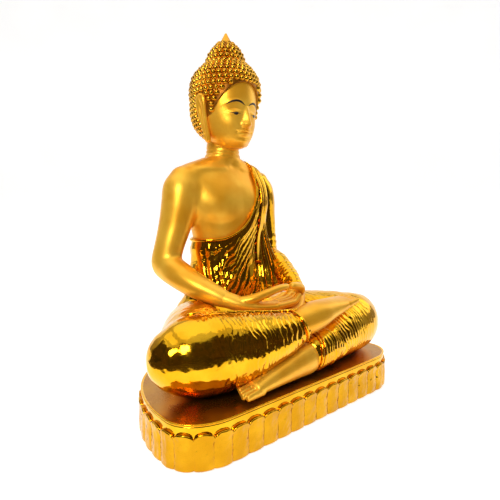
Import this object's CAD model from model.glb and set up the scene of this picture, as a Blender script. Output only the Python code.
import math

import bmesh
import bpy
import numpy as np
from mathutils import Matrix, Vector


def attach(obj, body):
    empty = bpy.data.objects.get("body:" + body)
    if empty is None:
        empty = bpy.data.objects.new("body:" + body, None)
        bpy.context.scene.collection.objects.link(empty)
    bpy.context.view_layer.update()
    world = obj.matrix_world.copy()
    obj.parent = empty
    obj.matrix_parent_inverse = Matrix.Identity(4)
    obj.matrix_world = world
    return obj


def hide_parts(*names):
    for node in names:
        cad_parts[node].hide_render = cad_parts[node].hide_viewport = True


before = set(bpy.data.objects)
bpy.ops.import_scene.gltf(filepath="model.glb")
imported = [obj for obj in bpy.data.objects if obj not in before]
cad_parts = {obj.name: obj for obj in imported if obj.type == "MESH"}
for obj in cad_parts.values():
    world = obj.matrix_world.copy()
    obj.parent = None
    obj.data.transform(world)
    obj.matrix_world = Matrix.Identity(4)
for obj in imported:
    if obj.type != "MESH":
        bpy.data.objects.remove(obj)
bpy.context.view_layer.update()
mm = 0.001
tau = 2 * math.pi


# ---- number helpers ----


def rowsAt(rows, at):
    # smooth values between listed rows, each row led by its position
    table = np.array(rows, float)
    spots = table[:, 0]
    at = np.asarray(at, float)
    i = np.clip(np.searchsorted(spots, at, side="right") - 1, 0, len(spots) - 2)
    before = np.maximum(i - 1, 0)
    after = np.minimum(i + 2, len(spots) - 1)
    span = (spots[i + 1] - spots[i])[:, None]
    f = np.clip((at - spots[i])[:, None] / span, 0, 1)
    start = table[i, 1:]
    end = table[i + 1, 1:]
    slopeIn = (end - table[before, 1:]) / (spots[i + 1] - spots[before])[:, None] * span
    slopeOut = (table[after, 1:] - start) / (spots[after] - spots[i])[:, None] * span
    f2 = f * f
    f3 = f2 * f
    return (
        (2 * f3 - 3 * f2 + 1) * start
        + (f3 - 2 * f2 + f) * slopeIn
        + (3 * f2 - 2 * f3) * end
        + (f3 - f2) * slopeOut
    )


def unit(vectors):
    return vectors / np.maximum(np.linalg.norm(vectors, axis=-1, keepdims=True), 1e-9)


def smoothStep(value, low, high):
    f = np.clip((value - low) / (high - low), 0, 1)
    return f * f * (3 - 2 * f)


def bell(value, centre, width):
    return np.exp(-(((value - centre) / width) ** 2))


def wobble(points, size, seed):
    # slow uneven swell over space, about -1 to 1
    rng = np.random.default_rng(seed)
    total = 0
    for _ in range(6):
        direction = rng.normal(size=3)
        direction /= np.linalg.norm(direction)
        rate = tau * (0.6 + 0.8 * rng.random()) / size
        total = total + np.sin(points @ direction * rate + rng.random() * tau)
    return total / 3


def pleatHeight(phase, seed, sharpness=1.5):
    # round ridges with sharp valleys, no two of the same height
    count = np.floor(phase)
    inside = phase - count
    chance = np.abs(np.sin(count * 12.9898 + seed) * 43758.5453) % 1
    return (1 - np.abs(2 * inside - 1) ** sharpness) * (0.35 + 0.9 * chance)


# ---- mesh helpers ----


def gridMesh(columns, rows, shape):
    # a flat grid carried onto a surface, its seam and poles closed
    bm = bmesh.new()
    bmesh.ops.create_grid(bm, x_segments=columns, y_segments=rows, size=0.5)
    flat = np.array([vert.co[:2] for vert in bm.verts]) + 0.5
    points = shape(flat[:, 0], flat[:, 1]) * mm
    for vert, point in zip(bm.verts, points):
        vert.co = point
    bmesh.ops.remove_doubles(bm, verts=bm.verts, dist=1e-6)
    bmesh.ops.recalc_face_normals(bm, faces=bm.faces)
    return bm


def meshOf(bm, name):
    mesh = bpy.data.meshes.new(name)
    bm.to_mesh(mesh)
    bm.free()
    return mesh


def joined(meshes):
    bm = bmesh.new()
    for part in meshes:
        mesh = meshOf(part, "part")
        bm.from_mesh(mesh)
        bpy.data.meshes.remove(mesh)
    return bm


def applied(bm, modifiers):
    # runs modifiers on a work object and gives the finished mesh back
    work = bpy.data.objects.new("work", meshOf(bm, "work"))
    bpy.context.scene.collection.objects.link(work)
    for kind, settings in modifiers:
        modifier = work.modifiers.new(kind, kind)
        for key, value in settings.items():
            setattr(modifier, key, value)
    graph = bpy.context.evaluated_depsgraph_get()
    done = bmesh.new()
    done.from_mesh(work.evaluated_get(graph).to_mesh())
    bpy.data.objects.remove(work)
    return done


def fused(meshes, voxel, smoothing):
    return applied(
        joined(meshes),
        [
            ("REMESH", {"mode": "VOXEL", "voxel_size": voxel * mm, "adaptivity": 0}),
            ("SMOOTH", {"factor": 0.5, "iterations": smoothing}),
        ],
    )


def pushed(bm, amount):
    # moves each point along its normal by amount(points in mm, normals) in mm
    bm.normal_update()
    points = np.array([vert.co[:] for vert in bm.verts]) / mm
    normals = np.array([vert.normal[:] for vert in bm.verts])
    moved = (points + normals * amount(points, normals)[:, None]) * mm
    for vert, point in zip(bm.verts, moved):
        vert.co = point
    return bm


def limbPoints(stations, u, v, up=(0, 0, 1), capShare=0.1, capLength=0.7):
    # a limb along stations of x, y, z, half width, half height, with domed ends
    rows = [[i, *station] for i, station in enumerate(stations)]
    last = len(rows) - 1
    along = np.clip((v - capShare) / (1 - 2 * capShare), 0, 1) * last
    dome = np.clip((capShare - v) / capShare, 0, 1) - np.clip((v - 1 + capShare) / capShare, 0, 1)
    values = rowsAt(rows, along)
    ahead = rowsAt(rows, np.minimum(along + 0.05, last))[:, :3]
    behind = rowsAt(rows, np.maximum(along - 0.05, 0))[:, :3]
    tangent = unit(ahead - behind)
    side = unit(np.cross(np.array(up, float), tangent))
    top = np.cross(tangent, side)
    angle = (u * tau)[:, None]
    shrink = np.sqrt(np.clip(1 - dome * dome, 0, 1))[:, None]
    halfWidth = values[:, 3:4] * shrink
    halfHeight = values[:, 4:5] * shrink
    reach = np.minimum(values[:, 3:4], values[:, 4:5]) * capLength * dome[:, None]
    return values[:, :3] - tangent * reach + side * np.cos(angle) * halfWidth + top * np.sin(angle) * halfHeight


def limb(stations, columns=48, rows=72, **options):
    return gridMesh(columns, rows, lambda u, v: limbPoints(stations, u, v, **options))


def columnPoints(rows, angle, z, grow=0):
    # a point on an upright body of height, half width, half depth, centre y
    values = rowsAt(rows, z)
    centreX = values[:, 3] if values.shape[1] > 3 else 0
    return np.stack(
        [
            centreX + np.cos(angle) * (values[:, 0] + grow),
            values[:, 2] + np.sin(angle) * (values[:, 1] + grow),
            z,
        ],
        axis=1,
    )


def column(rows, columns=96, levels=96):
    low = rows[0][0]
    high = rows[-1][0]

    def shape(u, v):
        z = low + (high - low) * np.clip((v - 0.02) / 0.96, 0, 1)
        points = columnPoints(rows, u * tau, z)
        centre = rowsAt(rows, z)[:, 2]
        close = np.clip(np.minimum(v, 1 - v) / 0.02, 0, 1)[:, None]
        middle = np.stack([points[:, 0] * 0, centre, z], axis=1)
        return middle + (points - middle) * close

    return gridMesh(columns, levels, shape)


def put(bm, name, material, nodes):
    # one finished piece, standing in for the named nodes
    mesh = meshOf(bm, name)
    for face in mesh.polygons:
        face.use_smooth = True
    mesh.materials.append(material)
    piece = bpy.data.objects.new(name, mesh)
    bpy.context.scene.collection.objects.link(piece)
    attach(piece, "root")
    if nodes:
        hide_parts(*nodes)


# ---- materials ----


class Wire:
    # a shader socket that can be used in sums
    def __init__(self, tree, socket):
        self.tree = tree
        self.socket = socket

    def node(self, kind, settings=None, inputs=None, output=0):
        made = self.tree.nodes.new(kind)
        for key, value in (settings or {}).items():
            if key == "stops":
                ramp = made.color_ramp
                while len(ramp.elements) < len(value):
                    ramp.elements.new(0.5)
                for element, (place, colour) in zip(ramp.elements, value):
                    element.position = place
                    element.color = colour
            else:
                setattr(made, key, value)
        for key, value in (inputs or {}).items():
            if isinstance(value, Wire):
                self.tree.links.new(value.socket, made.inputs[key])
            else:
                made.inputs[key].default_value = value
        return Wire(self.tree, made.outputs[output])

    def maths(self, operation, *values):
        return self.node("ShaderNodeMath", {"operation": operation}, dict(enumerate(values)))

    def __add__(self, other):
        return self.maths("ADD", self, other)

    def __radd__(self, other):
        return self.maths("ADD", other, self)

    def __sub__(self, other):
        return self.maths("SUBTRACT", self, other)

    def __rsub__(self, other):
        return self.maths("SUBTRACT", other, self)

    def __mul__(self, other):
        return self.maths("MULTIPLY", self, other)

    def __rmul__(self, other):
        return self.maths("MULTIPLY", other, self)

    def __truediv__(self, other):
        return self.maths("DIVIDE", self, other)

    def __rtruediv__(self, other):
        return self.maths("DIVIDE", other, self)

    def size(self):
        return self.maths("ABSOLUTE", self)

    def power(self, exponent):
        return self.maths("POWER", self, exponent)

    def atLeast(self, low):
        return self.maths("MAXIMUM", self, low)

    def ramped(self, low, high):
        return self.node(
            "ShaderNodeMapRange",
            {"interpolation_type": "SMOOTHSTEP"},
            {"Value": self, "From Min": low, "From Max": high},
        )


def startMaterial(name):
    material = bpy.data.materials.new(name)
    material.use_nodes = True
    tree = material.node_tree
    tree.nodes.clear()
    output = tree.nodes.new("ShaderNodeOutputMaterial")
    shader = tree.nodes.new("ShaderNodeBsdfPrincipled")
    tree.links.new(shader.outputs[0], output.inputs["Surface"])
    coordinate = tree.nodes.new("ShaderNodeTexCoord")
    place = Wire(tree, coordinate.outputs["Object"])
    return material, shader, place


def feed(shader, **wires):
    for key, value in wires.items():
        socket = shader.inputs[key.replace("_", " ")]
        if isinstance(value, Wire):
            value.tree.links.new(value.socket, socket)
        else:
            socket.default_value = value


def noise(place, scale, detail=2.0, roughness=0.5):
    return place.node(
        "ShaderNodeTexNoise", {}, {"Vector": place, "Scale": scale, "Detail": detail, "Roughness": roughness}
    )


def blendColours(place, mask, first, second):
    first, second = (colour if isinstance(colour, Wire) else (*colour, 1) for colour in (first, second))
    return place.node("ShaderNodeMix", {"data_type": "RGBA"}, {0: mask, 6: first, 7: second}, output=2)


def goldParts(name, look):
    # a gold with clouded colour, specked shine and small dents, and the parts a face paints over
    material, shader, place = startMaterial(name)
    cloud = noise(place, look["cloudScale"], 3.0)
    tint = blendColours(place, cloud.ramped(0.35, 0.7), look["deep"], look["light"])
    speck = noise(place, look["speckScale"], 2.0)
    clouded = look["roughSpread"] * cloud.ramped(0.3, 0.75)
    rough = look["roughness"] + clouded + look["speckRough"] * speck.ramped(0.5, 0.75)
    grain = noise(place, look["grainScale"], 2.0)
    height = grain * look["grain"] + noise(place, look["dentScale"], 1.0) * look["dent"]
    bump = place.node("ShaderNodeBump", {}, {"Strength": look["bump"], "Distance": 0.001, "Height": height})
    feed(shader, Metallic=look["metal"], Base_Color=tint, Roughness=rough, Normal=bump)
    return material, shader, place, tint


def goldMaterial(name, look):
    return goldParts(name, look)[0]


brightLook = {
    "metal": 1.0,
    "deep": (0.86, 0.41, 0.01),
    "light": (0.94, 0.51, 0.02),
    "roughness": 0.1,
    "roughSpread": 0.05,
    "speckRough": 0.05,
    "cloudScale": 55.0,
    "speckScale": 900.0,
    "grainScale": 1500.0,
    "grain": 0.02,
    "dentScale": 260.0,
    "dent": 0.35,
    "bump": 0.45,
}
satinLook = {
    "metal": 0.62,
    "deep": (0.90, 0.40, 0.014),
    "light": (1.0, 0.55, 0.045),
    "roughness": 0.32,
    "roughSpread": 0.07,
    "speckRough": 0.06,
    "cloudScale": 34.0,
    "speckScale": 1400.0,
    "grainScale": 2600.0,
    "grain": 0.12,
    "dentScale": 140.0,
    "dent": 0.25,
    "bump": 0.25,
}
foilLook = {
    **brightLook,
    "deep": (0.64, 0.30, 0.008),
    "light": (0.78, 0.40, 0.014),
    "roughness": 0.17,
    "dentScale": 190.0,
    "dent": 1.3,
    "bump": 0.9,
}
hairLook = {**satinLook, "roughness": 0.2, "metal": 0.95, "deep": (0.72, 0.33, 0.012)}
shadeLook = {**satinLook, "metal": 0.8, "deep": (0.3, 0.1, 0.004), "light": (0.42, 0.17, 0.008)}
deckLook = {
    **satinLook,
    "roughness": 0.26,
    "metal": 0.95,
    "deep": (0.46, 0.19, 0.007),
    "light": (0.6, 0.28, 0.012),
}
brightGold = goldMaterial("brightGold", brightLook)
satinGold = goldMaterial("satinGold", satinLook)
foilGold = goldMaterial("foilGold", foilLook)
hairGold = goldMaterial("hairGold", hairLook)
hairShade = goldMaterial("hairShade", shadeLook)
deckGold = goldMaterial("deckGold", deckLook)
print("materials made")

# ---- plinth ----

plinth = {
    "halfWidth": 120.0,
    "front": -72.4,
    "back": 72.4,
    "cornerX": 35.1,
    "cornerY": 27.2,
    "fullness": 2.1,
    "petals": 46,
    "petalSamples": 22,
    "valley": 20.9,
    "tip": 24.3,
    "groove": 1.5,
    "deckTop": 30.7,
}


def planOutline(inset, share):
    # points round the plan at even steps of its edge, and the outward direction there
    p = plinth
    middle = p["front"] + p["cornerY"]
    cornerCentre = p["halfWidth"] - p["cornerX"]
    quarter = np.linspace(-math.pi / 2, 0, 60)
    half = np.linspace(0, math.pi, 360)

    def full(value):
        return np.sign(value) * np.abs(value) ** (2 / p["fullness"])

    right = np.stack([cornerCentre + p["cornerX"] * np.cos(quarter), middle + p["cornerY"] * np.sin(quarter)], 1)
    depth = p["back"] - middle
    rear = np.stack([p["halfWidth"] * full(np.cos(half)), middle + depth * full(np.sin(half))], 1)
    left = right[::-1] * [-1, 1]
    loop = np.concatenate([[[0, p["front"]]], right, rear[1:-1], left, [[0, p["front"]]]])
    length = np.concatenate([[0], np.cumsum(np.linalg.norm(np.diff(loop, axis=0), axis=1))])

    def at(s):
        s = (s % 1) * length[-1]
        return np.stack([np.interp(s, length, loop[:, 0]), np.interp(s, length, loop[:, 1])], 1)

    here = at(share)
    run = unit(at(share + 0.004) - at(share - 0.004))
    out = np.stack([run[:, 1], -run[:, 0]], 1)
    return here - out * inset[:, None], out


def petalSurface(u, v):
    p = plinth
    phase = (u * p["petals"]) % 1
    petal = np.floor(u * p["petals"])
    crest = np.sin(math.pi * phase)
    chance = np.abs(np.sin(petal * 7.31) * 91.7) % 1
    tip = p["valley"] + (p["tip"] - p["valley"] + 0.5 * (chance - 0.5)) * (1 - np.abs(2 * phase - 1) ** 2.6) ** 0.6
    # profile once round: inner foot, outer foot, face, curled tip, inner side
    profile = [
        [0.0, 3.2, 0.0, 0, 0],
        [0.05, 0.9, 0.0, 1, 0],
        [0.08, 0.35, 0.02, 1, 0],
        [0.3, 0.15, 0.3, 1, 0],
        [0.6, 0.35, 0.78, 1, 0.1],
        [0.7, 0.2, 0.9, 0.8, 0.6],
        [0.76, 0.1, 0.965, 0.5, 1.0],
        [0.8, 0.7, 1.0, 0.3, 1.0],
        [0.86, 1.9, 0.985, 0.1, 0.4],
        [0.92, 2.7, 0.9, 0, 0],
        [1.0, 3.2, 0.0, 0, 0],
    ]
    values = rowsAt(profile, v)
    groove = p["groove"] * (1 - crest**0.45) * values[:, 2]
    curl = -0.25 * values[:, 3] * crest
    inset = values[:, 0] + groove + np.maximum(curl, -values[:, 0])
    z = 0.3 + (tip - 0.3) * values[:, 1]
    flat, _ = planOutline(inset, u)
    return np.stack([flat[:, 0], flat[:, 1], z], 1)


def petalCreases(points, normals):
    # hammered foil look: upright creases in the petals, strongest near the foot
    outer = np.clip(1 - np.abs(normals[:, 2]), 0, 1)
    around = np.arctan2(points[:, 1] + 20, points[:, 0])
    upright = np.stack([points[:, 0], points[:, 1], points[:, 2] * 0.16], 1)
    fine = wobble(upright, 5.0, 3) * wobble(points, 17.0, 4)
    streak = pleatHeight(around * 34 + 1.3 * wobble(points, 16.0, 5), 6) * wobble(points, 9.0, 7)
    return outer * (0.18 * fine + 0.2 * streak)


petals = pushed(gridMesh(plinth["petals"] * plinth["petalSamples"], 40, petalSurface), petalCreases)
put(petals, "lotusPetals", foilGold, ["lotus_band"])


def tierSurface(u, v):
    profile = [
        [0.0, 4.2, 16.0],
        [0.08, 2.35, 17.0],
        [0.3, 2.3, 23.0],
        [0.5, 2.1, 28.4],
        [0.56, 2.3, 28.9],
        [0.62, 2.25, 29.4],
        [0.7, 1.75, 29.9],
        [0.78, 1.75, 30.4],
        [0.86, 2.3, 30.7],
        [0.94, 3.0, 30.6],
        [1.0, 3.5, 30.35],
    ]
    values = rowsAt(profile, v)
    flat, _ = planOutline(values[:, 0], u)
    return np.stack([flat[:, 0], flat[:, 1], values[:, 1]], 1)


def tierSwell(points, normals):
    return 0.05 * wobble(points, 14.0, 9)


put(pushed(gridMesh(520, 46, tierSurface), tierSwell), "upperTier", brightGold, ["plinth_core"])


def deckSurface(u, v):
    edge, _ = planOutline(np.full(len(u), 3.3), u)
    share = v[:, None]
    flat = edge * (1 - share) + np.array([0.0, -10.0]) * share
    return np.stack([flat[:, 0], flat[:, 1], np.full(len(v), 30.35)], 1)


put(gridMesh(260, 24, deckSurface), "deckTop", deckGold, ["seat_deck"])
print("plinth made")

# ---- legs under the robe ----

rightLeg = {
    "thigh": [
        [-44, 28, 61, 18, 20],
        [-52, 16, 61, 27, 27],
        [-68, -8, 61, 31, 30],
        [-81, -27, 60.5, 31, 29.5],
        [-88, -39, 60, 22, 24],
    ],
    "shin": [
        [-112, -22, 60, 13, 16],
        [-102, -25, 60, 21.5, 25.4],
        [-84, -30, 60.5, 26.6, 29.4],
        [-62, -37, 61, 26, 28],
        [-40, -43, 63, 23, 24],
        [-20, -48, 66, 18.5, 19],
        [-6, -52, 70.5, 14, 14],
        [0, -53.5, 73, 11.6, 11.6],
    ],
    "knee": [
        [-60, -22, 60.4, 20, 22],
        [-82, -28, 60.2, 28.6, 29.4],
        [-95, -27.6, 60.2, 26.6, 27.4],
        [-106, -25.5, 60, 20, 21.5],
    ],
}
leftLeg = {
    "thigh": [
        [44, 28, 58, 18, 18],
        [52, 14, 58, 27, 25],
        [66, -12, 58, 30, 27.5],
        [80, -33, 57.5, 30, 27.5],
        [88, -45, 56.5, 21, 22],
    ],
    "shin": [
        [112, -29.5, 57.5, 13, 16],
        [104, -33, 57, 21, 24],
        [86, -38, 56.5, 26, 26.4],
        [62, -43.5, 54, 23.5, 22.5],
        [40, -49, 51, 19, 18.6],
        [22, -54, 49, 15, 16],
        [10, -56.5, 48, 12.5, 13.6],
    ],
    "knee": [
        [62, -28, 57.4, 20, 21],
        [84, -35, 57.4, 28, 26.8],
        [97, -35, 57.4, 24.6, 25],
        [106, -33, 57.4, 18.6, 20],
    ],
}
kneeShift = {"reach": 3.4, "starts": 45, "ends": 100}
hipRows = [
    [31, 62, 27, 31],
    [38, 70, 33, 30],
    [50, 72, 36, 29],
    [64, 68, 35, 29],
    [76, 57, 31, 33],
    [85, 46, 27, 37],
    [91, 38, 24, 38.4],
]
lapRow = [
    [-52, -8, 52, 26, 19],
    [-26, -14, 53, 34, 20],
    [0, -16, 53, 36, 20],
    [26, -14, 53, 34, 20],
    [52, -8, 52, 26, 19],
]


def flattened(bm, floor=31.0):
    # where the cloth would sink in the deck it spreads flat on it
    for vert in bm.verts:
        if vert.co.z < floor * mm:
            vert.co.z = floor * mm
    return bm


def shinPleats(start, end, seed, near, far, spacing):
    start = np.array(start, float)
    end = np.array(end, float)
    length = np.linalg.norm(end - start)
    run = (end - start) / length

    def amount(points, normals):
        along = (points - start) @ run
        share = along / length
        phase = along / spacing + 0.55 * wobble(points, 30.0, seed) + 0.22 * wobble(points, 9.0, seed + 1)
        deep = far * smoothStep(share, -0.05, 0.25) + (near - far) * smoothStep(share, 0.1, 0.7)
        deep = deep * (0.7 + 0.4 * wobble(points, 26.0, seed + 2))
        facing = smoothStep(-normals[:, 1] + 0.4 * normals[:, 2], -0.7, 0.2)
        fine = pleatHeight(phase * 2.3 + 0.4 * wobble(points, 5.0, seed + 3), seed + 4) * 0.3
        swell = 0.12 * wobble(points, 20.0, seed + 5) + 0.1 * wobble(points, 8.0, seed + 6)
        return deep * facing * (pleatHeight(phase, seed) + fine) + swell

    return amount


def kneesOver(bm):
    # both knees sit a little toward the left hand side of the figure
    for vert in bm.verts:
        share = float(smoothStep(abs(vert.co.x) / mm, kneeShift["starts"], kneeShift["ends"]))
        vert.co.x += kneeShift["reach"] * mm * share
    return bm


def legCloth(leg, pleats, name, node):
    cloth = fused(
        [
            limb(leg["thigh"], 64, 96),
            limb(leg["knee"], 64, 64, capShare=0.2),
            limb(leg["shin"], 64, 110, capShare=0.06),
        ],
        0.85,
        120,
    )
    put(flattened(kneesOver(pushed(cloth, pleats))), name, brightGold, [node])


rightPleats = shinPleats((-90, -29, 60), (0, -53, 73), 11, 0.8, 0.55, 3.9)
leftPleats = shinPleats((96, -36, 57), (10, -56, 48), 23, 0.85, 0.35, 3.4)
legCloth(rightLeg, rightPleats, "rightLegCloth", "right_leg")
legCloth(leftLeg, leftPleats, "leftLegCloth", "left_leg")


def hipPleats(points, normals):
    phase = points[:, 2] / 4.2 + 1.2 * wobble(points, 60.0, 31) + 0.2 * wobble(points, 12.0, 32)
    back = smoothStep(normals[:, 1], -0.2, 0.5)
    return 0.5 * back * pleatHeight(phase, 33) + 0.2 * wobble(points, 26.0, 34)


hips = pushed(fused([column(hipRows, 96, 64), limb(lapRow, 48, 64)], 1.2, 16), hipPleats)
put(flattened(hips), "lapCloth", brightGold, ["hips"])
shinHem = {"length": 82, "turn": 9.0, "radius": 1.0, "crimp": 5.2}


def shinHemSurface(u, v):
    # crimped edge of the robe lying along the top of the right shin
    station = 1.9 + 5.3 * v
    values = rowsAt([[i, *row] for i, row in enumerate(rightLeg["shin"])], station)
    turn = math.radians(shinHem["turn"])
    length = shinHem["length"] * v
    ripple = 0.55 * np.sin(length / shinHem["crimp"] * tau + 1.5 * np.sin(length / 23))
    along = unit(np.array([88.0, -25.0, 8.0]))
    back = unit(np.array([25.0, 88.0, 0.0]))
    up = np.cross(along, back)
    out = math.cos(turn) * up + math.sin(turn) * back
    centre = values[:, :3] + out * (values[:, 4:5] + 0.25) + back * ripple[:, None]
    angle = (u * tau)[:, None]
    end = np.sqrt(np.clip(np.minimum(v, 1 - v) / 0.02, 0, 1))[:, None]
    return centre + shinHem["radius"] * end * (np.cos(angle) * out + np.sin(angle) * back)


put(gridMesh(12, 320, shinHemSurface), "shinHem", brightGold, ())


def cuffRing(name, centre, along, radiusA, radiusB, lean=(0, 0, 1)):
    # round hem where the cloth ends above a foot
    along = unit(np.array(along, float))
    side = unit(np.cross(np.array(lean, float), along))
    top = np.cross(along, side)

    def shape(u, v):
        turn = (u * tau)[:, None]
        out = np.cos(turn) * side * radiusA + np.sin(turn) * top * radiusB
        spot = (v * tau)[:, None]
        return np.array(centre, float) + out + 0.8 * (np.cos(spot) * unit(out) + np.sin(spot) * along)

    put(gridMesh(96, 10, shape), name, brightGold, ())


cuffRing("leftCuff1", (12.5, -56.2, 48.2), (12, -2.5, -1), 13.6, 14.6)
cuffRing("leftCuff2", (16.0, -55.4, 48.4), (12, -2.5, -1), 14.3, 15.3)
cuffRing("rightCuff1", (-3.0, -52.8, 71.8), (10, -2, 3.8), 13.6, 13.6)
print("legs made")

# ---- feet ----


def rightToes():
    toes = []
    for i in range(5):
        y = -46.6 - i * 4.6
        reach = 67 - abs(i - 0.6) * 1.6
        toes.append(
            limb(
                [[49, y, 83.6, 2.3, 2.6], [reach - 4, y, 85.2, 2.4, 2.3], [reach - 1.4, y, 85.8, 2.3, 2.2]],
                16,
                24,
            )
        )
    return toes


def leftToes():
    toes = []
    for i in range(5):
        y = -65.2 + i * 3.4
        reach = -69 + abs(i - 1) * 1.6
        toes.append(
            limb(
                [
                    [-51, y, 36.8 + i * 0.4, 1.9, 3.3],
                    [reach + 4, y, 35.8 + i * 0.5, 1.9, 2.8],
                    [reach + 1.4, y, 35.2 + i * 0.5, 1.8, 2.3],
                ],
                16,
                24,
            )
        )
    return toes


rightFootSole = [
    [-6, -52, 72, 10, 10],
    [2, -54, 74.4, 11.6, 11.6],
    [16, -55.5, 78, 13.2, 11.4],
    [28, -56, 80.6, 12.5, 9],
    [42, -55.6, 82.4, 12, 6.6],
    [52, -55, 83.6, 11, 5],
]
leftFootTop = [
    [16, -56.5, 47.5, 9, 10.5],
    [4, -57.5, 45.5, 10, 12.5],
    [-12, -58, 43.8, 9.8, 10.8],
    [-30, -58.5, 41.6, 9.3, 8.6],
    [-46, -58.8, 39.4, 8.6, 6.6],
    [-54, -58.9, 38, 8.1, 5.2],
]
rightFoot = fused([limb(rightFootSole, 48, 72, capShare=0.05), *rightToes()], 0.5, 4)
put(rightFoot, "rightFootSkin", satinGold, ["right_foot"])
leftFoot = fused([limb(leftFootTop, 48, 72, capShare=0.05), *leftToes()], 0.5, 4)
put(flattened(leftFoot), "leftFootSkin", satinGold, ["left_foot"])
print("feet made")

# ---- trunk, bare arm and neck ----

trunkRows = [
    [84, 44, 23.6, 36.6],
    [98, 38.5, 24, 38.5],
    [115, 33.5, 22.4, 39],
    [135, 33.2, 21.8, 39],
    [152, 37.6, 23.8, 38.5],
    [168, 42.5, 25, 38.5],
    [182, 44.5, 23.4, 40.5],
    [191, 44.5, 20, 42],
    [198, 41, 16.8, 43],
    [202.5, 34, 15.2, 43.2],
    [206, 23.5, 15, 43.2],
    [209.5, 17, 15, 43],
    [217.6, 15.4, 15, 42.6],
]
neckRows = [
    [198, 15, 14.5, 43],
    [206, 16, 15, 43],
    [217, 15.2, 15, 42.6],
    [226, 15.2, 15, 42],
]
arm = {
    "upper": [
        [-40.5, 44, 191, 13, 13],
        [-43.5, 44, 181, 17, 16.6],
        [-46.5, 43.5, 168, 16.2, 16.4],
        [-51.6, 44, 150, 13.8, 15],
        [-57.4, 44, 133, 12.3, 13.5],
        [-61.2, 45, 118, 12, 12.8],
        [-62, 44.5, 112, 10, 10.4],
    ],
    "fore": [
        [-61, 51, 116.5, 9, 9.5],
        [-60.8, 45, 115.5, 11.4, 11.8],
        [-59.8, 30, 110.5, 12.1, 11.9],
        [-54.4, 12, 102, 10.9, 10.5],
        [-45, -4, 94.5, 8.8, 8.6],
        [-40, -11, 91.2, 7.6, 7],
    ],
}


def chestForm(points, normals):
    x, y, z = points.T
    front = smoothStep(-normals[:, 1], 0.0, 0.7)
    side = np.abs(x)
    breast = 2.2 * bell(side, 20, 13) * bell(z, 168, 13)
    fold = -0.6 * bell(z, 151 + 0.02 * (side - 20) ** 2, 4) * bell(side, 20, 16)
    throat = -0.9 * bell(x, 0, 4) * bell(z, 203, 4)
    collar = 0.7 * bell(z, 200 - 0.06 * side, 2.6) * smoothStep(side, 5, 12) * (1 - smoothStep(side, 30, 40))
    rings = -0.6 * (bell(z, 213.6, 0.8) + bell(z, 210.0, 0.8) + bell(z, 217.0, 0.7))
    return front * (breast + fold + throat + collar) + rings * smoothStep(side, 40, 20)


yoke = [
    [-42, 44, 188, 13, 12],
    [-34, 44, 192, 14, 12],
    [-24, 43.5, 197, 14, 10.5],
    [-12, 43, 203, 14, 9],
    [0, 43, 206, 14, 9],
    [12, 43, 203, 14, 9],
    [24, 43.5, 197, 14, 10.5],
    [34, 44, 192, 14, 12],
    [42, 44, 188, 13, 12],
]
trunk = fused(
    [
        column(trunkRows, 96, 120),
        column(neckRows, 64, 40),
        limb(yoke, 48, 96),
        limb(arm["upper"], 56, 96, up=(0, 1, 0)),
        limb(arm["fore"], 56, 96),
    ],
    1.0,
    70,
)
put(pushed(trunk, chestForm), "bareTrunk", satinGold, ["torso", "right_arm"])
print("trunk made")

# ---- robe, hem and sash ----

robe = {"lift": 2.0, "thickness": 1.3, "foot": 85.0, "hemRadius": 1.15}
hemLine = [
    [-70, 136],
    [-36, 136],
    [-14, 139],
    [4, 152],
    [15, 174],
    [20.5, 197],
    [21.5, 225],
]


def hemHeight(x):
    # the slanting edge as a height for each x, on a smooth line through its points
    steps = np.linspace(0, len(hemLine) - 1, 400)
    points = rowsAt([[i, *point] for i, point in enumerate(hemLine)], steps)
    return np.interp(x, points[:, 0], points[:, 1], right=260.0)


def hemTop(angle, grow):
    # height at which the cloth ends on the trunk in each direction
    levels = np.linspace(100, 216, 600)
    top = np.full(len(angle), 207.0)
    found = np.zeros(len(angle), bool)
    for z in levels:
        x = columnPoints(trunkRows, angle, np.full(len(angle), z), grow)[:, 0]
        over = (hemHeight(x) < z) & ~found
        top[over] = z
        found |= over
    return top


def robePleats(points, normals):
    # level folds on the right side turn into slanting ones that climb with the hem
    x, y, z = points.T
    below = np.minimum(hemHeight(x), 205.0) - z
    slant = 7.6 * np.log1p(np.exp(np.clip((x + 18) / 8, -20, 20)))
    swing = (136 + slant - z) * 0.75 + np.clip(x + 30, 0, 80) * 0.4
    phase = swing / 6.2 + 0.5 * wobble(points, 46.0, 51) + 0.22 * wobble(points, 12.0, 52)
    fine = pleatHeight(phase * 2.4 + 0.5 * wobble(points, 7.0, 53), 54) * 0.3
    broad = pleatHeight(phase / 3 + 0.3, 57) * 0.6
    strips = pleatHeight(x / 4.4 + 0.4 * wobble(points, 30.0, 58), 59) * smoothStep(x, -4, -24) * 1.1
    flow = 0.22 + 0.78 * smoothStep(x, -32, -10)
    deep = smoothStep(below, 1, 10) * (0.75 + 0.3 * wobble(points, 24.0, 55))
    roll = 0.7 * bell(below, 7, 5)
    return deep * (flow * (pleatHeight(phase, 56) + fine + broad) + strips) + roll - 0.5


def robeSurface(u, v):
    angle = u * tau
    top = hemTop(angle, robe["lift"])
    z = robe["foot"] + (top - robe["foot"]) * v
    return columnPoints(trunkRows, angle, z, robe["lift"])


robeCloth = gridMesh(420, 170, robeSurface)
robeCloth = pushed(robeCloth, robePleats)
robeCloth = applied(robeCloth, [("SOLIDIFY", {"thickness": robe["thickness"] * mm, "offset": -1})])
put(robeCloth, "robeCloth", brightGold, ["robe"])


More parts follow.
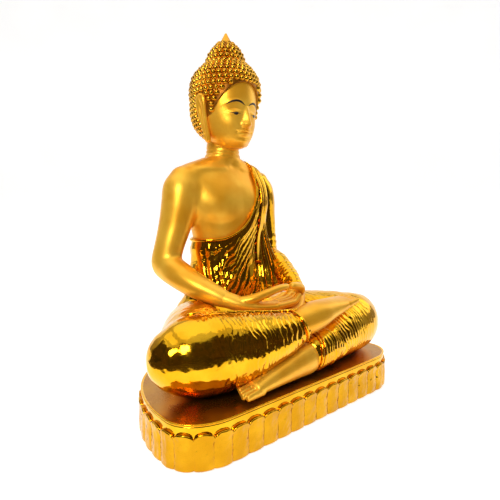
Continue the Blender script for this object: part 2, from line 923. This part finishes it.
def hemSurface(u, v):
    angle = u * tau
    top = hemTop(angle, robe["lift"])
    centre = columnPoints(trunkRows, angle, top, robe["lift"] + 0.15)
    out = unit(np.stack([np.cos(angle), np.sin(angle) * 1.4, 0.25 + 0 * angle], 1))
    turn = (v * tau)[:, None]
    upright = unit(np.array([0.0, 0.0, 1.0]) - out * out[:, 2:3])
    return centre + robe["hemRadius"] * (np.cos(turn) * out + np.sin(turn) * upright)


put(gridMesh(420, 14, hemSurface), "robeHem", brightGold, ())


def sashSurface(u, v):
    x = 21.0 + 13.5 * u
    swing = (v - 0.5) * math.pi
    foot = np.where(swing < 0, 114.0, 118.0)
    x = x + (u - 0.5) * 2.0 * smoothStep(np.abs(v - 0.5), 0.3, 0.5) + 2.2 * np.cos(swing)
    grow = 4.2
    heights = np.linspace(195, 216, 200)
    widths = rowsAt(trunkRows, heights)[:, 0] + grow
    top = np.interp(-x, -widths, heights)
    z = foot + (top - foot) * np.cos(swing) ** 0.8
    values = rowsAt(trunkRows, z)
    inside = np.clip(1 - (x / (values[:, 0] + grow)) ** 2, 0, 1)
    y = values[:, 2] + np.sign(swing) * (values[:, 1] + grow) * np.sqrt(inside)
    return np.stack([x, y, z], 1)


def sashFolds(points, normals):
    x, y, z = points.T
    phase = (x - 20) / 3.6 + 0.25 * wobble(points, 40.0, 61)
    return 0.9 * pleatHeight(phase, 62, 1.2) - 0.4


sashCloth = pushed(gridMesh(60, 260, sashSurface), sashFolds)
sashCloth = applied(sashCloth, [("SOLIDIFY", {"thickness": 1.4 * mm, "offset": -1})])
put(sashCloth, "sashCloth", brightGold, ["sash"])
tailRows = [
    [84, 39.4, 11, 19],
    [90, 39, 12.5, 18],
    [100, 38.5, 15, 17],
    [112, 37, 18.5, 13.5],
    [127, 33.5, 21.5, 9.5],
    [150, 29.5, 20.5, 5],
    [160, 28, 16.5, 3.5],
]


def tailSurface(u, v):
    # end of the folded cloth, fanning out as it falls to the lap
    z = 84 + 76 * v
    values = rowsAt(tailRows, z)
    across = (u - 0.5) * 2
    fold = 1.7 * np.sin(u * math.pi * 9 + 0.8 * np.sin(u * 5 + v * 2)) * smoothStep(1 - v, 0.05, 0.5)
    return np.stack([values[:, 0] + across * values[:, 2], values[:, 1] + fold + 1.5 * across**2, z], 1)


sashTail = applied(gridMesh(120, 90, tailSurface), [("SOLIDIFY", {"thickness": 1.6 * mm, "offset": 0})])
put(sashTail, "sashTail", brightGold, ())
print("robe made")

# ---- left sleeve ----


def sleeveFolds(points, normals):
    x, y, z = points.T
    start = np.array([59.0, 45.0, 116.0])
    end = np.array([40.0, -11.0, 91.0])
    run = unit(end - start)
    along = (points - start) @ run
    phase = along / 4.6 + 0.4 * wobble(points, 22.0, 71)
    fore = smoothStep(along, 2, 14)
    upper = (z - 120) / 7.0 + 0.8 * wobble(points, 34.0, 72)
    elbow = bell(z, 128, 16) * (1 - fore)
    folds = 0.55 * fore * pleatHeight(phase, 73) + 0.6 * elbow * pleatHeight(upper, 74)
    return folds + 0.35 * wobble(points, 24.0, 75)


sleeveFore = [
    [56, 49, 116.5, 9, 9.5],
    [56.2, 43, 115.5, 11.2, 11.8],
    [54.4, 28, 110.5, 11.8, 11.9],
    [50.4, 11, 102, 10.6, 10.4],
    [44.4, -4, 94.5, 8.8, 8.6],
    [40, -11, 91.2, 7.8, 7.2],
]
sleeveUpper = [
    [40.5, 44, 191, 13, 13],
    [43.5, 44, 181, 17, 16.6],
    [46.2, 43.5, 168, 16, 16.4],
    [49.6, 44, 150, 13.8, 15],
    [53.8, 44, 133, 12.3, 13.5],
    [56.4, 44, 118, 12, 12.8],
    [57, 43, 112, 10, 10.4],
]
sleeve = fused(
    [
        limb(sleeveUpper, 56, 96, up=(0, 1, 0)),
        limb(sleeveFore, 56, 96),
    ],
    0.8,
    10,
)
put(pushed(sleeve, sleeveFolds), "leftSleeve", brightGold, ["left_arm"])
print("sleeve made")

# ---- hands ----

rightHand = {
    "palm": [
        [-44, -6, 93.5, 7.4, 6.8],
        [-38, -13, 90.6, 7.4, 6.4],
        [-31, -18, 87.8, 9, 6],
        [-20, -22.5, 85.6, 11.5, 5],
        [-6, -26, 85, 12.6, 4.4],
        [-2, -27, 85, 12, 3.8],
    ],
    "thumb": [
        [-35, -18, 89.5, 4.6, 4.4],
        [-26, -27, 92.6, 4.4, 4],
        [-16, -32, 96.4, 3.7, 3.4],
        [-6, -34, 99, 3.4, 3],
        [2, -34.4, 99.8, 3.1, 2.8],
        [5, -34.2, 99.8, 2.5, 2.4],
    ],
}
leftHand = {
    "palm": [
        [44, -6, 93, 7.4, 6.8],
        [39, -12, 89.4, 7.4, 6.4],
        [32, -18.5, 85.6, 9.4, 6.4],
        [20, -24, 79.6, 12, 5],
        [6, -27.5, 77.8, 13, 4.2],
        [2, -28, 77.6, 12, 3.6],
    ],
    "thumb": [
        [36, -18, 88.6, 5, 4.6],
        [31, -26, 93, 4.4, 4.2],
        [24, -31.6, 97, 3.7, 3.5],
        [15, -34.2, 99.4, 3.2, 3],
        [10.6, -34.6, 99.8, 2.9, 2.7],
    ],
}


def rightFingers():
    fingers = []
    for i in range(4):
        y = -17.5 - i * 6.1
        reach = 27 - abs(i - 1.4) * 2.4
        curl = 1.2 + 0.6 * i
        fingers.append(
            limb(
                [
                    [-8, y, 85, 3, 3.3],
                    [8, y + 0.6, 85.6, 2.9, 3],
                    [reach - 8, y + 1.4, 86.6, 2.8, 2.8],
                    [reach - 2, y + 2.4, 87.4 + curl, 2.5, 2.5],
                ],
                20,
                36,
            )
        )
    return fingers


def leftFingers():
    fingers = []
    for i in range(4):
        y = -19 - i * 6.2
        reach = -24 + abs(i - 1.4) * 2.4
        fingers.append(
            limb([[6, y, 77.8, 3, 3], [-8, y, 77.4, 3, 2.8], [reach + 3, y + 0.6, 77.8, 2.6, 2.4]], 20, 30)
        )
    return fingers


def handSkin(hand, fingers, name, node):
    skin = fused([limb(hand["palm"], 40, 60), limb(hand["thumb"], 20, 40), *fingers], 0.5, 4)
    put(skin, name, satinGold, [node])


handSkin(rightHand, rightFingers(), "rightHandSkin", "right_hand")
handSkin(leftHand, leftFingers(), "leftHandSkin", "left_hand")
print("hands made")

# ---- head ----

face = {"chin": 218.0, "height": 50.0, "eyeX": 10.2}
face["brow"] = face["chin"] + face["height"] * 2 / 3
face["nose"] = face["chin"] + face["height"] / 3
face["eye"] = face["brow"] - 5.2
face["mouth"] = face["nose"] - 5.8
headRows = [
    [217, 7, 7, 27],
    [219, 12, 12.4, 29],
    [224, 17.4, 19, 32.2],
    [232, 22, 25, 36],
    [242, 25, 28.2, 38.2],
    [252, 26.6, 29.4, 38.9],
    [262, 27, 29.6, 39.2],
    [272, 26, 28.4, 39],
    [281, 21.6, 24.6, 38.8],
    [288, 13.6, 16.6, 38.6],
    [291, 5, 7, 38.6],
]


def faceRelief(x, z):
    side = np.abs(x)
    f = face
    lift = (z - f["nose"]) / (f["brow"] - f["nose"])
    ridge = 6.2 * np.where(lift > 0, np.clip(1 - lift, 0, 1) ** 0.85, np.clip(1 + lift * 7, 0, 1))
    nose = ridge * bell(x, 0, 2.1 + 1.5 * np.clip(1 - lift, 0, 1))
    wings = 1.9 * bell(side, 3.5, 1.7) * bell(z, f["nose"] + 1.2, 1.7)
    browArc = f["brow"] + 1.0 + 2.4 * (1 - ((side - 9.5) / 8.5) ** 2)
    browRidge = 0.75 * bell(z, browArc, 1.5) * bell(side, 10, 7)
    socket = -1.7 * bell(side, f["eyeX"], 5.4) * bell(z, f["eye"] + 0.8, 3.4)
    lid = 2.3 * bell(side, f["eyeX"], 4.6) * bell(z, f["eye"] - 0.4, 2.5)
    lidLine = -0.35 * bell(z, f["eye"] + 2.5 - 0.05 * (side - f["eyeX"]) ** 2, 0.45) * bell(side, f["eyeX"], 5)
    slit = -0.45 * bell(z, f["eye"] - 1.7 + 0.02 * (side - f["eyeX"]) ** 2, 0.5) * bell(side, f["eyeX"], 4.6)
    cheek = 0.9 * bell(side, 14, 7) * bell(z, f["nose"] + 1, 8)
    mouthZ = f["mouth"] + 0.014 * x**2
    wide = bell(x, 0, 6.0)
    upperLip = 1.7 * bell(z, mouthZ + 1.3, 1.05) * wide * (1 - 0.15 * bell(x, 0, 1.0))
    lowerLip = 1.9 * bell(z, mouthZ - 1.5, 1.25) * bell(x, 0, 4.8)
    mouthLine = -0.8 * bell(z, mouthZ - 0.05, 0.4) * bell(x, 0, 6.4)
    corner = -0.8 * bell(side, 7.6, 1.3) * bell(z, f["mouth"] + 0.9, 1.4)
    muzzle = 1.0 * bell(x, 0, 9) * bell(z, f["mouth"], 6)
    groove = -0.4 * bell(x, 0, 1.0) * bell(z, f["mouth"] + 4.0, 1.6)
    underLip = -0.8 * bell(x, 0, 5) * bell(z, f["mouth"] - 4.2, 1.2)
    chin = 1.9 * bell(x, 0, 6) * bell(z, f["chin"] + 3.6, 3.0)
    return (
        nose + wings + browRidge + socket + lid + lidLine + slit + cheek
        + upperLip + lowerLip + mouthLine + corner + muzzle + groove + underLip + chin
    )


def headSurface(u, v):
    turn = u * tau
    angle = turn - 0.5 * np.sin(turn) - math.pi / 2
    z = 217 + 74 * np.clip((v - 0.015) / 0.97, 0, 1)
    values = rowsAt(headRows, z)
    close = np.clip(np.minimum(v, 1 - v) / 0.015, 0, 1)
    x = np.cos(angle) * values[:, 0]
    y = np.sin(angle) * values[:, 1]
    front = np.clip(-y / values[:, 1] * 1.6, 0, 1)
    y = y - np.where(y < 0, faceRelief(x, z) * front, 0)
    return np.stack([x * close, values[:, 2] + y * close, z], 1)


headGrid = gridMesh(290, 300, headSurface)
faceGold, faceShader, facePlace, faceTint = goldParts("faceGold", satinLook)
split = facePlace.tree.nodes.new("ShaderNodeSeparateXYZ")
facePlace.tree.links.new(facePlace.socket, split.inputs[0])
side = (Wire(facePlace.tree, split.outputs[0]) * 1000.0).size()
depth = Wire(facePlace.tree, split.outputs[1]) * 1000.0
rise = Wire(facePlace.tree, split.outputs[2]) * 1000.0
browOff = (side - 9.6) / 7.4
browSpan = (1 - browOff * browOff).atLeast(0.0)
browLine = (rise - (face["brow"] + 0.3) - 3.0 * browSpan).size()
browMask = (0.95 * browSpan.power(0.45) - browLine).ramped(-0.12, 0.12)
eyeOff = (side - face["eyeX"]) / 4.9
eyeSpan = (1 - eyeOff * eyeOff).atLeast(0.0)
eyeMiddle = (side - face["eyeX"] + 0.2) / 2.1
pupil = (1 - eyeMiddle * eyeMiddle).atLeast(0.0)
eyeLine = (rise - (face["eye"] - 1.7) + 0.35 * pupil).size()
eyeMask = (0.38 * eyeSpan + 0.85 * pupil - eyeLine).ramped(-0.1, 0.1)
paint = browMask.atLeast(eyeMask) * (1 - depth.ramped(24.0, 26.0))
painted = blendColours(facePlace, paint, faceTint, (0.012, 0.009, 0.008))
feed(faceShader, Base_Color=painted, Metallic=satinLook["metal"] * (1 - paint))
put(headGrid, "headSkin", faceGold, ["head"])
print("head made")

# ---- hair, crown and finial ----

hairRows = [
    [229, 14, 10, 48.4],
    [236, 22.5, 19.6, 45.4],
    [246, 27.9, 28.4, 40.8],
    [258, 29.4, 30.4, 39.1],
    [268, 29.8, 30.8, 38.9],
    [276, 28.4, 29.8, 38.8],
    [282, 25.2, 26.8, 38.7],
    [287, 20.6, 22.4, 38.5],
    [291, 16.8, 17.8, 38.3],
    [297, 14.6, 15.2, 38],
    [302, 12, 12.4, 37.8],
    [307, 7.8, 8, 37.6],
    [309.8, 4.6, 4.6, 37.4],
]
hair = {"curlWidth": 2.75, "curlHeight": 3.3, "gap": 4.8, "archZ": 246, "archX": 24, "archHeight": 25.5}
templeLine = [[210, 34], [236, 31], [245, 27], [250, 22.5], [253, 18], [257, 6]]


def isHair(x, y, z, margin=0.0):
    # true where the head is covered: behind the temples and outside the arch over the brow
    arch = (x / (hair["archX"] + margin)) ** 2 + ((z - hair["archZ"]) / (hair["archHeight"] + margin)) ** 2
    temple = np.interp(z, [row[0] for row in templeLine], [row[1] for row in templeLine])
    return ((arch > 1) | (y > 26)) & ((y > temple + margin) | (z > 257))


def hairSurface(u, v):
    angle = u * tau
    foot = np.full(len(angle), 273.0)
    for z in np.linspace(273, 229, 360):
        # walks down from the crown to the first bare place
        level = np.full(len(angle), z)
        x, y, _ = columnPoints(hairRows, angle, level).T
        covered = isHair(x, y, level) & (foot <= z + 0.13)
        foot[covered] = z
    z = foot + (309.8 - foot) * v
    return columnPoints(hairRows, angle, z)


hairBase = applied(gridMesh(160, 90, hairSurface), [("SOLIDIFY", {"thickness": 3.2 * mm, "offset": -1})])
put(hairBase, "hairBase", hairShade, ["hair_cap"])


def curlShape():
    # one small snail curl, point outwards
    bm = bmesh.new()
    bmesh.ops.create_cone(
        bm, cap_ends=False, segments=9, radius1=hair["curlWidth"], radius2=0.0, depth=hair["curlHeight"]
    )
    side = [edge for edge in bm.edges if abs(edge.verts[0].co.z - edge.verts[1].co.z) > 0.1]
    bmesh.ops.subdivide_edges(bm, edges=side, cuts=3, use_grid_fill=False)
    for vert in bm.verts:
        share = vert.co.z / hair["curlHeight"] + 0.5
        radius = math.sqrt(max(0.0, 1 - share**1.5)) * hair["curlWidth"]
        flat = vert.co.xy.length
        if flat > 1e-6:
            vert.co.x *= radius / flat
            vert.co.y *= radius / flat
        vert.co.z += hair["curlHeight"] / 2 - 0.5
    return meshOf(bm, "curl")


def curlPlaces():
    heights = np.linspace(229.5, 309, 600)
    values = rowsAt(hairRows, heights)
    length = np.concatenate([[0], np.cumsum(np.hypot(np.diff(values[:, 1]), np.diff(heights)))])
    rows = int(length[-1] / (hair["gap"] * 0.9))
    places = []
    for row in range(rows + 1):
        z = float(np.interp(row * length[-1] / rows, length, heights))
        halfX, halfY, centreY = rowsAt(hairRows, [z])[0]
        below, above = rowsAt(hairRows, [z - 0.7, z + 0.7])
        lean = math.atan2(below[1] - above[1], 1.4)
        count = max(5, round(math.pi * (halfX + halfY) / hair["gap"]))
        for i in range(count):
            angle = (i + 0.5 * (row % 2)) / count * tau
            x = math.cos(angle) * halfX
            y = centreY + math.sin(angle) * halfY
            if not isHair(x, y, z, 1.5):
                continue
            if 30 < y < 41.5 and z < 262 and abs(x) > 20:
                # clear of the ears
                continue
            out = Vector((math.cos(angle) / halfX, math.sin(angle) / halfY, 0)).normalized()
            out = Vector((out.x * math.cos(lean), out.y * math.cos(lean), math.sin(lean)))
            places.append((Vector((x, y, z)), out))
    return places


curlMesh = curlShape()
curls = bmesh.new()
spin = np.random.default_rng(5)
for spot, out in curlPlaces():
    first = len(curls.verts)
    curls.from_mesh(curlMesh)
    curls.verts.ensure_lookup_table()
    fresh = curls.verts[first:]
    size = 0.93 + 0.14 * spin.random()
    turn = out.to_track_quat("Z", "Y").to_matrix().to_4x4()
    bmesh.ops.scale(curls, vec=(size * mm,) * 3, verts=fresh)
    bmesh.ops.transform(curls, matrix=turn, verts=fresh)
    bmesh.ops.translate(curls, vec=spot * mm, verts=fresh)
bmesh.ops.recalc_face_normals(curls, faces=curls.faces)
put(curls, "hairCurls", hairGold, ())

finialProfile = [
    [0.0, 5.6, 308.8],
    [0.12, 5.3, 310.2],
    [0.3, 4.5, 311.8],
    [0.55, 3.1, 314.4],
    [0.8, 1.6, 317.2],
    [0.93, 0.9, 318.6],
    [1.0, 0.0, 319.0],
]


def finialSurface(u, v):
    values = rowsAt(finialProfile, v)
    angle = u * tau
    return np.stack([np.cos(angle) * values[:, 0], 37.4 + np.sin(angle) * values[:, 0], values[:, 1]], 1)


put(gridMesh(36, 26, finialSurface), "crownFinial", satinGold, ["flame_finial"])

ear = {"foot": 221, "height": 41, "centreY": 36}
earRows = [
    [221, 1.0, 1.8, 21.1],
    [223, 2.4, 3.4, 21.6],
    [230, 2.6, 3.8, 23.6],
    [238, 2.5, 4.2, 26],
    [246, 2.7, 5.4, 28.2],
    [254, 2.9, 6.3, 29.4],
    [259.5, 2.5, 5.2, 29.8],
    [262, 1.1, 2.0, 29.6],
]


def earSurface(u, v):
    z = ear["foot"] + ear["height"] * np.clip((v - 0.02) / 0.96, 0, 1)
    values = rowsAt(earRows, z)
    close = np.clip(np.minimum(v, 1 - v) / 0.02, 0, 1)
    angle = u * tau
    y = ear["centreY"] + np.sin(angle) * values[:, 1] * close
    x = values[:, 2] + np.cos(angle) * values[:, 0] * close
    bowl = 2.4 * bell(y, 35.4, 2.6) * bell(z, 250, 6.0) + 1.8 * bell(y, 35.8, 1.6) * bell(z, 240, 7)
    slot = 1.7 * bell(y, 36, 1.2) * bell(z, 230, 4.5)
    x = x - np.where(np.cos(angle) > 0, (bowl + slot) * np.clip(np.cos(angle) * 2, 0, 1), 0)
    return np.stack([x, y, z], 1)


leftEar = gridMesh(64, 120, earSurface)
put(leftEar, "leftEarSkin", satinGold, ["left_ear"])
rightEar = gridMesh(64, 120, lambda u, v: earSurface(u, v) * [-1, 1, 1])
put(rightEar, "rightEarSkin", satinGold, ["right_ear"])
print("hair made")

# ---- fixings and underside ----


def plainMaterial(name, colour, second, roughness, metallic, scale, bumpHeight):
    material, shader, place = startMaterial(name)
    cloud = noise(place, scale, 4.0, 0.6)
    feed(shader, Base_Color=blendColours(place, cloud.ramped(0.3, 0.7), colour, second), Metallic=metallic)
    feed(shader, Roughness=roughness + 0.15 * cloud)
    bump = place.node("ShaderNodeBump", {}, {"Strength": 0.6, "Distance": 0.001, "Height": cloud * bumpHeight})
    feed(shader, Normal=bump)
    return material


steelGrey = plainMaterial("steelGrey", (0.5, 0.5, 0.52), (0.66, 0.66, 0.68), 0.28, 1.0, 700.0, 0.05)
feltRed = plainMaterial("feltRed", (0.11, 0.015, 0.02), (0.17, 0.03, 0.035), 0.85, 0.0, 2600.0, 0.6)
boardBrown = plainMaterial("boardBrown", (0.24, 0.15, 0.08), (0.34, 0.22, 0.12), 0.7, 0.0, 500.0, 0.3)
for name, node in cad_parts.items():
    finish = steelGrey
    if name == "felt_pad":
        finish = feltRed
    if name == "bottom_cover":
        finish = boardBrown
    node.data.materials.clear()
    node.data.materials.append(finish)

# ---- studio ----


backdrop = {
    "width": 9000,
    "near": -3500,
    "length": 8300,
    "bend": 2600,
    "arc": 1200,
    "radius": 1000,
    "climb": 2.2,
}
awayX, awayY = 0.6729, 0.7397


def backdropSurface(u, v):
    # pale floor that sweeps up behind the statue, square to the view
    b = backdrop
    side = (u - 0.5) * b["width"]
    along = b["near"] + b["length"] * v
    wall = np.clip((along - b["bend"]) / b["arc"], 0, 1)
    back = np.minimum(along, b["bend"]) + b["radius"] * np.sin(wall * math.pi / 2)
    z = b["radius"] * (1 - np.cos(wall * math.pi / 2)) + np.maximum(along - b["bend"] - b["arc"], 0) * b["climb"]
    across = np.array([awayY, -awayX])
    away = np.array([awayX, awayY])
    flat = side[:, None] * across + back[:, None] * away
    return np.stack([flat[:, 0], flat[:, 1], z], 1)


paper, paperShader, paperPlace = startMaterial("paper")
paperTint = blendColours(paperPlace, noise(paperPlace, 3.0).ramped(0.3, 0.7), (0.80, 0.80, 0.80), (0.82, 0.82, 0.82))
feed(paperShader, Base_Color=paperTint, Roughness=0.7, Emission_Color=paperTint, Emission_Strength=0.62)
floor = bpy.data.objects.new("paperFloor", meshOf(gridMesh(8, 80, backdropSurface), "paperFloor"))
floor.data.materials.append(paper)
for polygon in floor.data.polygons:
    polygon.use_smooth = True
bpy.context.scene.collection.objects.link(floor)

# a dark card curled up on the near side, seen only in the polished gold
card = {"near": 250, "rise": 620, "height": 900, "curl": 118, "bulge": 160, "centre": 227.7, "spread": 92}


def cardSurface(u, v):
    turn = np.radians(card["centre"] + (u - 0.5) * 2 * card["spread"])
    flat = np.clip(v / 0.4, 0, 1)
    lift = np.clip((v - 0.4) / 0.6, 0, 1) * math.radians(card["curl"])
    reach = card["near"] + (card["rise"] - card["near"]) * flat + card["bulge"] * np.sin(lift)
    z = 2 + card["height"] * (1 - np.cos(lift)) / 1.47
    return np.stack([np.cos(turn) * reach, np.sin(turn) * reach, z], 1)


darkCard, cardShader, cardPlace = startMaterial("darkCard")
cardTint = blendColours(cardPlace, noise(cardPlace, 4.0).ramped(0.3, 0.7), (0.012, 0.006, 0.003), (0.05, 0.024, 0.011))
feed(cardShader, Base_Color=cardTint, Roughness=0.9)
cardObject = bpy.data.objects.new("darkCard", meshOf(gridMesh(48, 48, cardSurface), "darkCard"))
cardObject.data.materials.append(darkCard)
cardObject.visible_camera = False
cardObject.visible_diffuse = False
cardObject.visible_shadow = False
bpy.context.scene.collection.objects.link(cardObject)


def addArea(name, place, target, size, power, colour, shape="RECTANGLE"):
    light = bpy.data.lights.new(name, "AREA")
    light.shape = shape
    light.size, light.size_y = size
    light.energy = power
    light.color = colour
    lamp = bpy.data.objects.new(name, light)
    lamp.location = place
    lamp.rotation_euler = (Vector(target) - Vector(place)).to_track_quat("-Z", "Y").to_euler()
    bpy.context.scene.collection.objects.link(lamp)


addArea("topSoft", (0.05, 0.15, 1.25), (0, 0, 0.1), (1.5, 1.3), 3.4, (1.0, 0.98, 0.95))
addArea("leftSoft", (-1.2, 0.5, 0.9), (0, 0, 0.15), (1.3, 1.1), 2.6, (1.0, 0.98, 0.95))
addArea("rightSoft", (1.1, -0.25, 0.8), (0, 0, 0.15), (0.5, 0.8), 1.6, (1.0, 0.97, 0.92))
addArea("window", (-0.55, -0.33, 0.45), (0, 0, 0.12), (0.24, 0.24), 2.4, (1.0, 0.99, 0.95), "ELLIPSE")

world = bpy.data.worlds.new("studio")
world.use_nodes = True
worldTree = world.node_tree
worldTree.nodes.clear()
worldOut = worldTree.nodes.new("ShaderNodeOutputWorld")
worldLight = worldTree.nodes.new("ShaderNodeBackground")
worldTree.links.new(worldLight.outputs[0], worldOut.inputs["Surface"])
sky = worldTree.nodes.new("ShaderNodeTexCoord")
direction = Wire(worldTree, sky.outputs["Generated"])
rising = direction.node("ShaderNodeSeparateXYZ", {}, {0: direction}, output=2)
shade = direction.node(
    "ShaderNodeValToRGB",
    {
        "stops": [
            (0.0, (0.5, 0.5, 0.5, 1)),
            (0.5, (0.30, 0.29, 0.27, 1)),
            (0.62, (0.30, 0.29, 0.27, 1)),
            (0.8, (0.55, 0.54, 0.52, 1)),
            (1.0, (0.7, 0.7, 0.7, 1)),
        ]
    },
    {0: rising * 0.5 + 0.5},
)
worldTree.links.new(shade.socket, worldLight.inputs["Color"])
worldLight.inputs["Strength"].default_value = 1.0
bpy.context.scene.world = world
bpy.context.scene.view_settings.view_transform = "Standard"

view = {"place": (-0.25825, -0.27853, 0.16327), "ahead": (0.67, 0.73658, -0.0925), "lens": 31.68}
cameraData = bpy.data.cameras.new("view")
cameraData.lens = view["lens"]
cameraData.sensor_width = 36.0
cameraData.clip_start = 0.01
cameraObject = bpy.data.objects.new("view", cameraData)
cameraObject.location = view["place"]
cameraObject.rotation_euler = Vector(view["ahead"]).to_track_quat("-Z", "Y").to_euler()
bpy.context.scene.collection.objects.link(cameraObject)
bpy.context.scene.camera = cameraObject
print("studio made")
